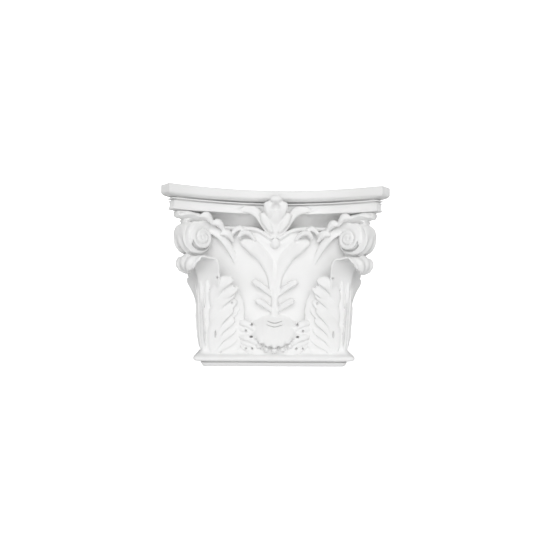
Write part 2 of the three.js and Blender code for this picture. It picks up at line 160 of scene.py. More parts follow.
def blade(points, widths, heights, sunk=6.0, up=FRONT, groove=0.0, steps=26, facets=12, blunt=0.08, fade=1.0):
    """A tapering rounded bar along a path.

    Widths are half widths, heights stand proud of the path towards up, and the buried side lies sunk the
    other way. Blunt is the share of the path over which its ends round off, and a fade above 1 lets its
    sides run out softly.
    """
    t = np.linspace(0, 1, steps + 1)
    middle = spline(points, t)
    ahead = unit(np.gradient(middle, axis=0))
    upward = np.asarray(up, float) + 0 * middle
    upward = unit(upward - ahead * np.sum(upward * ahead, axis=1, keepdims=True))
    across = np.cross(ahead, upward)
    near_end = np.clip(np.minimum(t, 1 - t) / blunt, 0, 1)
    ends = np.sqrt(1 - (1 - near_end) ** 2) * (1 - END_SHARE) + END_SHARE
    width = along(widths, t) * ends
    height = along(heights, t) * ends
    rings = []
    for k in range(facets + 1):
        angle = math.pi * k / facets
        dip = 1 - groove * math.exp(-((math.cos(angle) / GROOVE_WIDTH) ** 2))
        rings.append(
            middle
            + across * (width * math.cos(angle))[:, None]
            + upward * (height * max(0.0, math.sin(angle)) ** fade * dip)[:, None]
        )
    for k in (1, 2, 3):
        angle = math.pi * (1 + k / 4)
        rings.append(
            middle
            + across * (width * BURIED_WIDTH * math.cos(angle))[:, None]
            + upward * (sunk * math.sin(angle) * ends)[:, None]
        )
    return loft(np.stack(rings, axis=1))


def sheet(place, rows, columns, thickness):
    """A curved sheet: place(u, v) gives its middle surface over whole grids, thickness(v) how thick it is."""
    u, v = np.meshgrid(np.linspace(0, 1, rows + 1), np.linspace(0, 1, columns + 1), indexing="ij")
    middle = place(u, v)
    normal = unit(np.cross(np.gradient(middle, axis=0), np.gradient(middle, axis=1)))
    half = thickness(v)[..., None] / 2
    verts = np.vstack([(middle + normal * half).reshape(-1, 3), (middle - normal * half).reshape(-1, 3)])
    count = (rows + 1) * (columns + 1)

    def index(i, j):
        return i * (columns + 1) + j

    faces = []
    for i in range(rows):
        for j in range(columns):
            a, b, c, d = index(i, j), index(i + 1, j), index(i + 1, j + 1), index(i, j + 1)
            faces.append((a, b, c, d))
            faces.append((d + count, c + count, b + count, a + count))
    rim = [index(i, 0) for i in range(rows)] + [index(rows, j) for j in range(columns)]
    rim += [index(i, columns) for i in range(rows, 0, -1)] + [index(0, j) for j in range(columns, 0, -1)]
    for a, b in zip(rim, rim[1:] + rim[:1]):
        faces.append((a, a + count, b + count, b))
    return verts, faces


def ball(centre, radii, rows=14, columns=20):
    polar = np.linspace(0.02, math.pi - 0.02, rows)
    turn = np.linspace(0, 2 * math.pi, columns, endpoint=False)
    rings = np.stack(
        [
            np.sin(polar)[:, None] * np.cos(turn),
            np.sin(polar)[:, None] * np.sin(turn),
            np.cos(polar)[:, None] + 0 * turn,
        ],
        axis=-1,
    )
    return loft(rings * np.asarray(radii) + np.asarray(centre))


# Placing on the right, on the left, on the front and on the return
def to_side(side):
    return lambda p: np.asarray(p, float) * (side, 1, 1)


def keep(p):
    return np.asarray(p, float)


def onto_return(p):
    p = np.asarray(p, float)
    return np.stack([DIAGONAL - p[..., 1], DIAGONAL - p[..., 0], p[..., 2]], axis=-1)


def lean_return(d):
    """A direction on the front, turned onto the return as onto_return turns a point."""
    return np.array([-d[1], -d[0], d[2]])


def in_turn(first, second):
    """The placing that does first and then second."""
    return lambda p: second(first(p))


FACES = ((keep, keep), (onto_return, lean_return))
SIDES = (to_side(1), to_side(-1))
CORNER_FACES = [
    (in_turn(turn_to, side), in_turn(lean, side), turn_to is keep)
    for side in SIDES
    for turn_to, lean in FACES
]  # for each carved face of a corner: how points get there, how directions do, and whether it is on the front


def mirrored(right):
    """A plan from the right wall to the middle of the front, closed by its mirror image."""
    left = (right * (-1, 1))[::-1][1:]
    return np.vstack([right, left])


# Neck, ring at the foot, and bell
NECK_CORNER_STEPS = 8
NECK_FRONT_STEPS = 39
NECK_SIDE_STEPS = 10
FOOT_PROFILE = ((0, -3.5), (0.6, -3.2), (8.2, 0.9), (8.9, 0.7), (9.2, -7), (13, -7))
TORUS_DEGREES = np.linspace(-72, 66, 14)  # the part of the ring's circle that stands clear
BELL_PROFILE = (
    (24.6, 7.4), (25.6, 5), (27.2, 2.9), (29.5, 1.4), (33, 0.4), (37, 0), (60, -0.3), (110, 0), (150, 0.4),
    (180, 1), (200, 2.2), (220, 4), (235, 6), (245, 8),
)  # heights, and how far the bell stands out from the neck
LIP_HALF = 4.5  # half the lip's height
LIP_ROUND = 6.0  # how far the rounding of the lip reaches out
LIP_DIP = 20.0  # how far the lip sinks behind the flower
DIP_WIDTH = 24.0
DIP_START = 225.0
DIP_RISE = 35.0


def body_outline(outset):
    half = NECK_WIDTH / 2 + outset
    depth = NECK_DEPTH + outset
    r = NECK_CORNER
    turn = np.linspace(0, math.pi / 2, NECK_CORNER_STEPS + 1)
    corner = np.stack([half - r + r * np.cos(turn), -(depth - r) - r * np.sin(turn)], axis=1)
    across = np.linspace(half - r, 0, NECK_FRONT_STEPS + 1)[1:]
    front = np.stack([across, np.full(NECK_FRONT_STEPS, -depth)], axis=1)
    back_to_front = np.linspace(PAST_WALL, -(depth - r), NECK_SIDE_STEPS + 1)[:-1]
    wall = np.stack([np.full(NECK_SIDE_STEPS, half), back_to_front], axis=1)
    return mirrored(np.vstack([wall, corner, front]))


def body():
    """The neck, ring and bell as a stack of outlines, whose last three close it inside the abacus."""
    profile = list(FOOT_PROFILE)
    for degrees in TORUS_DEGREES:
        angle = math.radians(degrees)
        profile.append(
            (TORUS_RISE + TORUS_RADIUS * math.sin(angle), TORUS_OUTSET + TORUS_RADIUS * math.cos(angle))
        )
    profile += BELL_PROFILE
    for degrees in range(0, 181, 15):
        angle = math.radians(degrees)
        height = LIP_HEIGHT - LIP_HALF - LIP_HALF * math.cos(angle)
        profile.append((height, LIP_OUTSET - LIP_ROUND + LIP_ROUND * math.sin(angle)))
    profile += [(LIP_HEIGHT + 0.5, -8), (LIP_HEIGHT + 1, -26), (HEIGHT - ABACUS_HEIGHT + 4, 0)]
    rings = []
    for z, outset in profile:
        plan = body_outline(outset)
        dip = LIP_DIP * np.exp(-((plan[:, 0] / DIP_WIDTH) ** 2)) * smooth_step((z - DIP_START) / DIP_RISE)
        dip *= z < LIP_HEIGHT + 3  # the end inside the abacus stays level
        rings.append(np.column_stack([plan, z - dip]))
    return [loft(np.stack(rings))]


# Abacus: concave front and returns, horns cut off at 45 degrees
ABACUS_FRONT_POINTS = 48
ABACUS_RETURN_POINTS = 18
ABACUS_PROFILE = (
    (0, 0.5), (0.5, 0), (14.2, 0), (14.8, 0.35), (16, 1.2), (17.5, 3), (18.8, 5.8), (19.7, 9), (19.8, 19),
    (22.9, 20), (23.0, 10.8), (24.8, 10.8), (24.9, 17), (27.5, 18), (27.6, 12), (28.7, 12.8), (32, 14),
    (36, 13.8), (39, 12.8), (41.6, 11.5), (42.4, 11.2), (ABACUS_HEIGHT, 12),
)  # drops below the top, and insets


def abacus_outline(inset):
    reach = WIDTH / 2 - HORN_CHAMFER - HORN_TAPER * inset

    def front(x):
        return np.stack([x, -(DEPTH - inset) + ABACUS_SAG * (1 - (x / reach) ** 2)], axis=-1)

    side = front(np.linspace(DIAGONAL - PAST_WALL, reach, ABACUS_RETURN_POINTS))
    side = DIAGONAL - side[:, ::-1]
    return mirrored(np.vstack([side, front(np.linspace(reach, 0, ABACUS_FRONT_POINTS))]))


def abacus():
    rings = []
    for drop, inset in ABACUS_PROFILE:
        plan = abacus_outline(inset)
        rings.append(np.column_stack([plan, np.full(len(plan), HEIGHT - drop)]))
    return level_loft(rings)


# Volutes, in distances outwards along the corner's diagonal, upwards, and towards the front face
DRUM_POINTS = 72
DRUM_ROWS = 41
FLUTE_DEPTH = 1.3
FLUTE_DRAW = 0.6  # how far the whole fluted rim draws in
RIM_BEVEL = 2.4
RIM_BEVEL_FROM = 0.9
DRUM_INSET = 4.6  # how far the drum's ends lie behind the volute's faces
EYE_OUTWARD = -6.0
EYE_RISE = 0.5
EYE_BALL = 5.0
COIL_STEPS = 48
COIL_START = -0.75
COIL_TURNS = 2.3
COIL_RADIUS = 25.5
COIL_DECAY = 0.125
COIL_SUNK = 2.0
COIL_LIFT = 5.0  # how far the coil's inner end stands forward
STALK = ((70, -50, 190), (82, -60, 218), (99, -70, 247))
WEBS = (((-6, 33), (8, 34), (21, 30)), ((-14, -34), (0, -35), (15, -32)))
BACKING = ((-10, -39), (-10, 2), (-8, 46))
SHOULDER = ((-4, 22), (12, 25), (22, 19), (26.5, 8), (28, -4))
HORN_LEAF = ((132, -42, 264), (148, -58, 278), (165, -75, 284), (176, -86, 285), (181, -91, 284))
LEAFLETS = ((114, -82, 268), (94, -75, 256), (78, -69, 238))  # roots of the leaflets beside the bell
LEAFLET_CURVE = ((0, 0, 0), (11, -5, 15), (25, -6, 13))


def volute_point(outward, upward, across):
    """The place of a point that is given from a volute's middle."""
    h = math.sqrt(0.5)
    x = VOLUTE_CENTRE[0] + (outward - across) * h
    y = VOLUTE_CENTRE[1] - (outward + across) * h
    return np.stack([x, y, VOLUTE_HEIGHT + upward + 0 * x], axis=-1)


def volute_path(pairs, across=0):
    """A path level with a face of the volute, or in its middle, from distances outwards and upwards."""
    return np.array([volute_point(outward, upward, across) for outward, upward in pairs])


def volute_half(outward):
    return VOLUTE_HALF - VOLUTE_SLOPE * outward


def volute_drum(place):
    """The fluted rim of a volute, from one face to the other."""
    turn = np.linspace(0, 2 * math.pi, DRUM_POINTS, endpoint=False)
    rings = []
    for share in np.linspace(-1, 1, DRUM_ROWS):
        flute = FLUTE_DEPTH * np.cos(share * 2 * math.pi) - FLUTE_DRAW
        bevel = RIM_BEVEL * max(0.0, abs(share) - RIM_BEVEL_FROM) / (1 - RIM_BEVEL_FROM)
        radius = VOLUTE_RADIUS + flute - bevel
        outward = radius * np.sin(turn)
        across = share * (volute_half(outward) - DRUM_INSET)
        rings.append(place(volute_point(outward, radius * np.cos(turn), across)))
    return loft(np.stack(rings))


def volute_band(place, turn_to, lean):
    """A band that rises from the bell as a stalk, crosses the top of the volute and coils in to its eye."""
    coil = []
    for i in range(COIL_STEPS + 1):
        share = i / COIL_STEPS
        angle = COIL_START + share * COIL_TURNS * 2 * math.pi
        radius = COIL_RADIUS * math.exp(-COIL_DECAY * (angle - COIL_START))
        outward = EYE_OUTWARD + radius * math.sin(angle)
        across = volute_half(outward) - COIL_SUNK + COIL_LIFT * smooth_step(share)
        coil.append(volute_point(outward, radius * math.cos(angle) + EYE_RISE, across))
    stalk = spline([*STALK, coil[0]], np.linspace(0, 0.88, 6))
    return blade(
        place(turn_to(np.vstack([stalk, coil]))),
        [4, 9, 7.5, 5.6, 5.2, 4.8, 4.2, 3.6, 3.3, 3.0, 2.8, 2.8],
        [1, 4, 4, 3.4, 3.4, 3.2, 3, 3],
        sunk=7,
        up=place(lean((-0.3, -0.95, 0))),
        groove=0.18,
        steps=150,
        blunt=0.012,
    )


def leaflet(place, root):
    return blade(place(np.array(root) + LEAFLET_CURVE), [3, 7.5, 3], [3, 7, 3], sunk=8, groove=0.15)


def volutes():
    """Each volute with its bands and eyes, the webs and backing that carry it, and the leaves round it."""
    shells = []
    for place in SIDES:
        back_out = place((1, -1, 0))
        shells.append(volute_drum(place))
        shells += [volute_band(place, *face) for face in FACES]
        for across in (VOLUTE_HALF + 1, -VOLUTE_HALF - 1):
            shells.append(ball(place(volute_point(EYE_OUTWARD, EYE_RISE, across)), (EYE_BALL,) * 3))
        for web in WEBS:
            shells.append(blade(place(volute_path(web)), [10, 14, 13], [5, 5, 3], sunk=5, up=UPWARD))
        backing = place(volute_path(BACKING))
        shells.append(blade(backing, [12, 14, 15], [14, 16, 18], sunk=22, up=back_out, blunt=0.01))
        shoulder = place(volute_path(SHOULDER))
        outwards = place((1, -1, 1))
        shells.append(blade(shoulder, [12, 19, 21, 20, 16], [2, 4, 5, 4, 1], up=outwards, groove=0.25))
        widths = (30, 31, 24, 15, 10)
        shells.append(blade(place(HORN_LEAF), widths, [8, 11, 9, 8, 7], sunk=7, up=UPWARD, groove=0.12))
        shells += [leaflet(place, root) for root in LEAFLETS]
    return shells


# Lobes of fingers, as carved on the corner leaves and on the low leaf
FINGER_SUNK = 10.0
FINGER_GROOVE = 0.12
LEAST_PROUD = 1.6  # how proud the lowest finger of a lobe stands
FALL = 0.6  # below 1, the fingers lose most of their height near the top of the lobe


def lobe_fingers(place, up, highest, lowest, count, proud, widths):
    """The fingers of a lobe, between its highest and its lowest one."""
    shells = []
    for share in np.linspace(0, 1, count):
        points = mix(np.array(highest, float), np.array(lowest, float), share)
        height = mix(proud, LEAST_PROUD, share**FALL)
        heights = (height * 0.6, height, height, height * 0.5)
        shells.append(blade(place(points), widths, heights, FINGER_SUNK, up, FINGER_GROOVE, blunt=0.2))
    return shells


# Corner leaves: a broad body, pipes beside the corner, and overlapping lobes
LEAF_SUNK = 9.0
LEAF_UP = (0.15, -1, 0)
LOBE_UP = (0.1, -1, 0.25)
LOBE_WIDTHS = (6, 11, 12, 8)
LEAF_BODY = ((108, -47, 22), (106, -49, 60), (105, -52, 110), (108, -56, 152))
LEAF_BODY_WIDTHS = (34, 46, 49, 40)
LEAF_BODY_HEIGHTS = (3, 8, 10, 8)
PIPE_HEIGHTS = (1, 2, 2.2, 0.6)
LEAF_PIPES = (
    (((134, -51, 24), (136, -54, 64), (138, -56, 116), (141, -58, 166)), (3.5, 4, 4, 3)),
    (((125, -51, 24), (126, -54, 66), (127, -59, 116), (128, -66, 166)), (3.5, 5, 5, 4)),
)
LEAF_LOBES = (
    (
        ((118, -62, 116), (112, -67, 144), (98, -74, 162), (77, -78, 168)),
        ((117, -60, 106), (106, -65, 131), (90, -71, 145), (68, -75, 154)),
        2, 4.0,
    ),
    (
        ((119, -60, 76), (111, -63, 112), (96, -67, 132), (74, -70, 141)),
        ((117, -58, 64), (103, -60, 86), (88, -62, 101), (67, -62, 115)),
        3, 3.8,
    ),
    (
        ((121, -57, 34), (114, -62, 74), (100, -66, 99), (77, -68, 112)),
        ((120, -51, 21), (106, -52, 26), (90, -53, 32), (68, -53, 38)),
        5, 3.0,
    ),
)  # each lobe's highest and lowest finger, how many fingers, and how proud the highest one stands


def corner_lobes():
    shells = []
    for place, lean, _ in CORNER_FACES:
        up = lean(LEAF_UP)
        shells.append(
            blade(place(LEAF_BODY), LEAF_BODY_WIDTHS, LEAF_BODY_HEIGHTS, LEAF_SUNK, up, fade=2, facets=24)
        )
        for points, widths in LEAF_PIPES:
            shells.append(blade(place(points), widths, PIPE_HEIGHTS, LEAF_SUNK, up, blunt=0.2))
        for lobe in LEAF_LOBES:
            shells += lobe_fingers(place, lean(LOBE_UP), *lobe, widths=LOBE_WIDTHS)
    return shells


# The upper part of a corner leaf: a hollow wing each way from the corner, and a tip that curls over
CURLED_EDGE = ((116, -91, 208), (130, -96, 207), (138, -97, 200), (144, -94, 194))
MIDRIB = (
    (140, -50, 104), (141, -51, 130), (143, -53, 158), (147, -57, 182), (153, -63, 198),
    (161, -71, 208), (168, -78, 206), (169, -79, 193), (162, -72, 179),
)
FRONT_EDGE = (
    (114, -57, 104), (106, -63, 130), (103, -77, 158), (102, -80, 178), (103, -86, 198), *CURLED_EDGE
)
RETURN_EDGE = (
    (118, -58, 104), (113, -68, 130), (106, -84, 160), (105, -84, 177), (106, -88, 197), *CURLED_EDGE
)
WING_OUTWARDS = (0.4, -0.9, 0.0)
SWELL = 4.6  # how far the curled tip bulges outwards
HOLLOW = 0.8  # how far the wings sag inwards, as a share of that
CRINKLE = 0.35  # depth of the crinkles in the curled tip, likewise
CRINKLE_WAVES = 4.2
CRINKLE_SLANT = 4.0
EDGE_WAVE = 1.8
EDGE_WAVES = 11
TIP_SCALLOP = 3.5
TIP_SCALLOPS = 4


def curled_leaf(u, v):
    """The leaf's middle surface: u runs up and over the curl, and v from the return to the front.

    The wings sag low down, and further up, where rolled passes from 0 to 1, the leaf swells and crinkles.
    """
    share = np.abs(v - 0.5)[..., None] * 2
    on_front = (v > 0.5)[..., None]
    outer = np.where(on_front, spline(FRONT_EDGE, u), onto_return(spline(RETURN_EDGE, u)))
    outwards = np.where(on_front, WING_OUTWARDS, lean_return(WING_OUTWARDS))
    rolled = smooth_step(u * 3 - 1.6)[..., None]
    wave = np.cos(share * CRINKLE_WAVES * math.pi + u[..., None] * CRINKLE_SLANT)
    curled = np.sin(share * math.pi) - CRINKLE * wave
    fold = mix(-np.sin(share * math.pi) * HOLLOW, curled, rolled)
    point = mix(spline(MIDRIB, u), outer, share) + outwards * fold * SWELL
    point[..., 2] += EDGE_WAVE * share[..., 0] ** 3 * np.cos(u * EDGE_WAVES * math.pi)
    point[..., 2] -= TIP_SCALLOP * np.abs(np.sin(v * TIP_SCALLOPS * math.pi)) * smooth_step(u * 3 - 2)
    return point


def leaf_thickness(v):
    """Even over most of the leaf, and half as much at its two edges."""
    return LEAF_THICKNESS * (1 - 0.5 * (np.abs(v - 0.5) * 2) ** 6)


def corner_tips():
    return [sheet(lambda u, v: place(curled_leaf(u, v)), 72, 64, leaf_thickness) for place in SIDES]


# Middle of the front: the stem, two pairs of small leaves, and the pair of scroll leaves
STEM = ((0, -53, 92), (0, -55, 130), (0, -55, 165), (0, -54, 205))
SCROLL_LEAF = ((3, -54, 128), (7, -54, 172), (20, -55, 208), (42, -58, 230), (66, -64, 240))
SCROLL_UP = (-0.25, -1, 0.35)
SCROLL_CURLS = (
    (((36, -64, 240), (50, -68, 254), (62, -70, 254), (70, -70, 244)), (3, 5, 5, 3), (3, 6, 6, 3)),
    (((56, -66, 258), (68, -68, 264), (78, -70, 256), (82, -70, 246)), (3, 5, 4, 2), (2, 4, 4, 2)),
)
SMALL_LEAVES = ((136, 45, 165), (107, 38, 129))  # height of the root, reach sideways, and height of the tip
SMALL_BEND = ((0.42, -59, 0.5), (0.8, -62, 0.9))  # share of the reach, depth, and share of the rise
SMALL_UP = (-0.15, -1, 0.3)


def small_leaf(place, root, reach, tip):
    bend = [(reach * out, y, mix(root, tip, rise)) for out, y, rise in SMALL_BEND]
    path = [(4, -55, root), *bend, (reach, -61, tip - 1)]
    return blade(place(path), [3, 6, 6.5, 2], [3, 5, 6, 3], up=place(SMALL_UP), groove=0.3)


def stem_and_leaves():
    shells = [blade(STEM, [7, 6.5, 8, 4], [4, 6, 5, 1])]
    for place in SIDES:
        widths = (4, 8, 14, 16, 7)
        up = place(SCROLL_UP)
        shells.append(blade(place(SCROLL_LEAF), widths, [3, 6, 8, 10, 5], sunk=10, up=up, steps=40))
        shells += [blade(place(path), widths, heights) for path, widths, heights in SCROLL_CURLS]
        shells += [small_leaf(place, *sizes) for sizes in SMALL_LEAVES]
    return shells


# The low leaf in the middle: its core, its side lobes, and its top folded forward into a beaded fringe
LOW_LOBE_WIDTHS = (4, 6.5, 7, 5)
LOW_LOBES = (
    (
        ((28, -55, 66), (40, -59, 77), (54, -61, 85), (67, -60, 86)),
        ((32, -55, 56), (44, -58, 61), (56, -59, 65), (68, -58, 67)),
        3, 6.5,
    ),
    (
        ((26, -54, 40), (38, -58, 51), (52, -60, 58), (67, -58, 60)),
        ((26, -53, 30), (38, -56, 35), (52, -57, 39), (64, -55, 42)),
        3, 6.5,
    ),
    (
        ((16, -53, 23), (28, -56, 29), (42, -56, 33), (57, -54, 35)),
        ((12, -52, 21), (24, -54, 24), (34, -54, 26), (46, -53, 27)),
        2, 3.0,
    ),
)
LOW_CORE = ((0, -50, 20), (0, -53, 44), (0, -55, 72), (0, -58, 96))
FRINGE_BEADS = ((0, 35, 7), (15, 37, 6), (29, 43, 6), (41, 52, 5))  # place across, height and radius
BEAD_FRONT = -60.0
BEAD_SLANT = 0.1  # how fast the row of beads draws back towards the sides
BEAD_DEPTH = 9.0
FOLD_SECTION = (
    (0, 0), (0.3, 0.1), (0.75, 0.38), (1, 0.75), (0.98, 0.94), (0.9, 1), (0.75, 0.99), (0.5, 0.92), (0, 0.8),
)  # the outline of the fold from the side: share of its reach, and share of the way down to the fringe
FOLD_POINTS = 49
FOLD_ROWS = 141
FOLD_HALF = 48.0  # half the width of the fold
FOLD_TOP = 105.0
FOLD_TOP_DROP = 24.0  # how far its top edge falls towards the sides
FRINGE_HEIGHT = 40.0
FRINGE_RISE = 23.0  # how far the fringe rises towards the sides
FRINGE_WAVES = 3.5
FRINGE_SCALLOP = 4.5
FRINGE_SWELL = 1.5
FOLD_REACH = 22.0
FOLD_BURIED = 4.0  # how far its back lies inside the neck


def low_fold():
    """The top of the low leaf, lofted from side outlines."""
    section = spline([(share, down, 0) for share, down in FOLD_SECTION], np.linspace(0, 1, FOLD_POINTS))
    rings = []
    for across in np.linspace(-1, 1, FOLD_ROWS):
        lobe = abs(math.cos(across * FRINGE_WAVES * math.pi))
        forward = FOLD_BURIED + FOLD_REACH * (1 - across**4) + FRINGE_SWELL * lobe * section[:, 1] ** 3
        upper = FOLD_TOP - FOLD_TOP_DROP * across**2
        lower = FRINGE_HEIGHT + FRINGE_RISE * abs(across) ** 1.7 + FRINGE_SCALLOP * (1 - lobe)
        x = np.full(FOLD_POINTS, FOLD_HALF * across)
        y = FOLD_BURIED - NECK_DEPTH - section[:, 0] * forward
        rings.append(np.column_stack([x, y, mix(upper, lower, section[:, 1])]))
    return loft(np.stack(rings))


def low_leaf():
    shells = [low_fold()]
    for x, z, radius in FRINGE_BEADS:
        for side in SIDES:
            shells.append(ball(side((x, BEAD_FRONT + BEAD_SLANT * x, z)), (radius, BEAD_DEPTH, radius)))
    shells.append(blade(LOW_CORE, [24, 30, 36, 22], [2, 5, 8, 4], sunk=9, groove=0.3))
    for side in SIDES:
        for lobe in LOW_LOBES:
            shells += lobe_fingers(side, FRONT, *lobe, widths=LOW_LOBE_WIDTHS)
    return shells


# The flower on the middle of the abacus, the bud below it and the ribbon leaves beside it
CUP = ((0, -56, 244), (0, -60, 260), (0, -65, 278), (0, -70, 294))
FLOWER = ((0, -60, 262), (0, -68, 282), (0, -76, 300), (0, -82, 316))
KNOB = ((0, -84, 316), (11, 6, 7))
BUD = ((0, -60, 235.5), (9, 8.5, 9))
PETALS = ((17, -80, 312, 6.5), (24, -72, 293, 7))  # tip, and half width there
RIBBON = ((5, -58, 250), (21, -61, 270), (30, -62, 287), (40.5, -62, 297), (54, -60, 300), (67, -59, 299))
RIBBON_WIDTHS = (4, 6, 8, 9, 7, 3)
RIBBON_HEIGHTS = (3, 4, 4.5, 5, 4, 3)


def petal(place, x, y, z, width):
    """A petal that rises from inside the cup to its tip at x, y and z."""
    path = place([(x * 0.25, -66, z - 38), (x * 0.75, y + 3, z - 16), (x, y, z)])
    return blade(path, [4, width + 1.5, width], [3, 6, 4], sunk=12, groove=0.15, blunt=0.16)


def fleuron():
    shells = [
        blade(CUP, [5, 17, 28, 33], [3, 6, 6, 3], sunk=16),
        blade(FLOWER, [8, 15, 19, 14], [3, 7, 6, 3], sunk=16),
        ball(*KNOB),
        ball(*BUD),
    ]
    for place in SIDES:
        shells += [petal(place, *sizes) for sizes in PETALS]
        shells.append(blade(place(RIBBON), RIBBON_WIDTHS, RIBBON_HEIGHTS, sunk=15, groove=0.25, steps=40))
    return shells


# What is cut out of the carving
DRILL_DEPTH = 8.0
LEAF_DRILLS = (
    (107, -80, 171, 3.2, 3.0), (74, -72, 156, 3.4, 3.4), (80, -71, 124, 3.2, 3.6), (111, -67, 64, 2.4, 8.5),
)  # middle, half width and half height of the drilled holes where the lobes of a leaf meet
LOW_DRILLS = (
    (43, -61, 83, 2.8, 3.6), (54, -64, 71, 2.6, 3.4), (44, -60, 60, 4.0, 2.4), (54, -61, 37, 2.6, 3.0),
    (42, -61, 37, 2.6, 3.0),
)
FLOWER_HOLLOW = ((0, -86, 301), (10, 9, 8))
ARCS = (
    ((15, -60.6, 90), (0, -63.9, 86), 1.3, 2.2),
    ((16, -65, 83.5), (0, -67.8, 79.5), 1.3, 2.2),
    ((8, -64, 243), (0, -67, 247), 1.5, 4.5),
)  # the end, middle, half width and depth of the two grooves in the low leaf and of the one above the bud
CRESCENT_RADIUS = 21.5
CRESCENT_ANGLES = (1.7, 2.3, 2.9, 3.5, 4.0)
CRESCENT_SUNK = 3.0
CRESCENT_WIDTHS = (0.6, 2.8, 3.6, 2.8, 0.6)
UNDERCUT = ((-16, -31.5), (0, -34), (14, -31.5))
UNDERCUT_INSET = 6.0
VOLUTE_FACING = (-1, -1, 0)
HORN_HOLLOW = (166, -98, 285)
HORN_HOLLOW_RADII = (10, 5, 4)


def turned(radii, on_front):
    """Half sizes along x, y and z of a hole that is made for the front."""
    along_x, along_y, along_z = radii
    return radii if on_front else (along_y, along_x, along_z)


def drills():
    shells = []
    for place, _, on_front in CORNER_FACES:
        for x, y, z, wide, tall in LEAF_DRILLS:
            shells.append(ball(place((x, y, z)), turned((wide, DRILL_DEPTH, tall), on_front)))
    for side in SIDES:
        for x, y, z, wide, tall in LOW_DRILLS:
            shells.append(ball(side((x, y, z)), (wide, DRILL_DEPTH, tall)))
    return shells


def arc_cut(end, middle, width, depth):
    """A cutter for a shallow groove, alike on both sides and narrowing towards its ends."""
    x, y, z = end
    path = [(-x, y, z), middle, end]
    return blade(path, [width * 0.3, width, width * 0.3], [depth] * 3, sunk=depth)


def volute_cuts(place, facing):
    """The crescent below a volute's eye, and the dark line between the volute and the leaf under it."""
    crescent = []
    for angle in CRESCENT_ANGLES:
        outward = EYE_OUTWARD + CRESCENT_RADIUS * math.sin(angle)
        across = volute_half(outward) - CRESCENT_SUNK
        crescent.append(volute_point(outward, CRESCENT_RADIUS * math.cos(angle), across))
    undercut = volute_path(UNDERCUT, VOLUTE_HALF - UNDERCUT_INSET)
    return [
        blade(place(np.array(crescent)), CRESCENT_WIDTHS, [6] * 5, sunk=6, up=facing),
        blade(place(undercut), [1, 1.6, 1], [9] * 3, sunk=9, up=facing),
    ]


def small_pits():
    shells = [ball(*FLOWER_HOLLOW)]
    shells += [arc_cut(*arc) for arc in ARCS]
    for place, lean, on_front in CORNER_FACES:
        shells += volute_cuts(place, lean(VOLUTE_FACING))
        shells.append(ball(place(HORN_HOLLOW), turned(HORN_HOLLOW_RADII, on_front)))
    return shells


# Blender objects
def mesh_object(name, shells):
    """Shells in millimetres joined into one object, in metres and in the frame's place."""
    verts, faces, start = [], [], 0
    for shell_verts, shell_faces in shells:
        verts.append((shell_verts + (0, DEPTH / 2, 0)) * MM)
        faces += [tuple(i + start for i in face) for face in shell_faces]
        start += len(shell_verts)
    mesh = bpy.data.meshes.new(name)
    mesh.from_pydata(np.vstack(verts).tolist(), [], faces)
    mesh.update()
    obj = bpy.data.objects.new(name, mesh)
    bpy.context.scene.collection.objects.link(obj)
    turn_out(mesh)
    return obj


def turn_out(mesh):
    """Turn all faces outwards."""
    bm = bmesh.new()
    bm.from_mesh(mesh)
    bmesh.ops.recalc_face_normals(bm, faces=bm.faces)
    bm.to_mesh(mesh)
    bm.free()


def apply_modifier(obj, kind, **settings):
    modifier = obj.modifiers.new(kind.lower(), kind)
    for key, value in settings.items():
        setattr(modifier, key, value)
    graph = bpy.context.evaluated_depsgraph_get()
    made = bpy.data.meshes.new_from_object(obj.evaluated_get(graph), depsgraph=graph)
    obj.modifiers.clear()
    old = obj.data
    obj.data = made
    bpy.data.meshes.remove(old)


def wall_block():
    """Everything behind the wall plane, which is cut away."""
    deep = 40.0
    corners = [(x, y, z) for x in (-WIDTH, WIDTH) for y in (0.0, deep) for z in (-deep, HEIGHT + deep)]
    faces = [(0, 1, 3, 2), (4, 6, 7, 5), (0, 4, 5, 1), (2, 3, 7, 6), (0, 2, 6, 4), (1, 5, 7, 3)]
    return mesh_object("wall_block", [(np.array(corners), faces)])


def count_triangles(mesh):
    return sum(len(polygon.vertices) - 2 for polygon in mesh.polygons)


def build_capital():
    """The carving fused into one skin, with the crisp abacus joined on and the wall side and pits cut off."""
    carving = body() + volutes() + corner_lobes() + corner_tips() + stem_and_leaves() + low_leaf() + fleuron()
    moulding = mesh_object("capital_moulding", carving)
    apply_modifier(moulding, "REMESH", mode="VOXEL", voxel_size=VOXEL * MM)
    apply_modifier(moulding, "SMOOTH", factor=0.5, iterations=3)
    top = mesh_object("abacus_top", [abacus()])
    apply_modifier(moulding, "BOOLEAN", object=top, operation="UNION", solver="MANIFOLD")
    block = wall_block()
    pits = mesh_object("pits", drills() + small_pits())
    for cutter in (block, pits):
        apply_modifier(moulding, "BOOLEAN", object=cutter, operation="DIFFERENCE", solver="MANIFOLD")
    for helper in (top, block, pits):
        bpy.data.objects.remove(helper)
    triangles = count_triangles(moulding.data)
    if triangles > FINEST_TRIANGLES:
        apply_modifier(moulding, "DECIMATE", ratio=FINEST_TRIANGLES / triangles)
    moulding.data.shade_smooth()
    moulding.data.set_sharp_from_angle(angle=math.radians(EDGE_DEGREES))
    return moulding


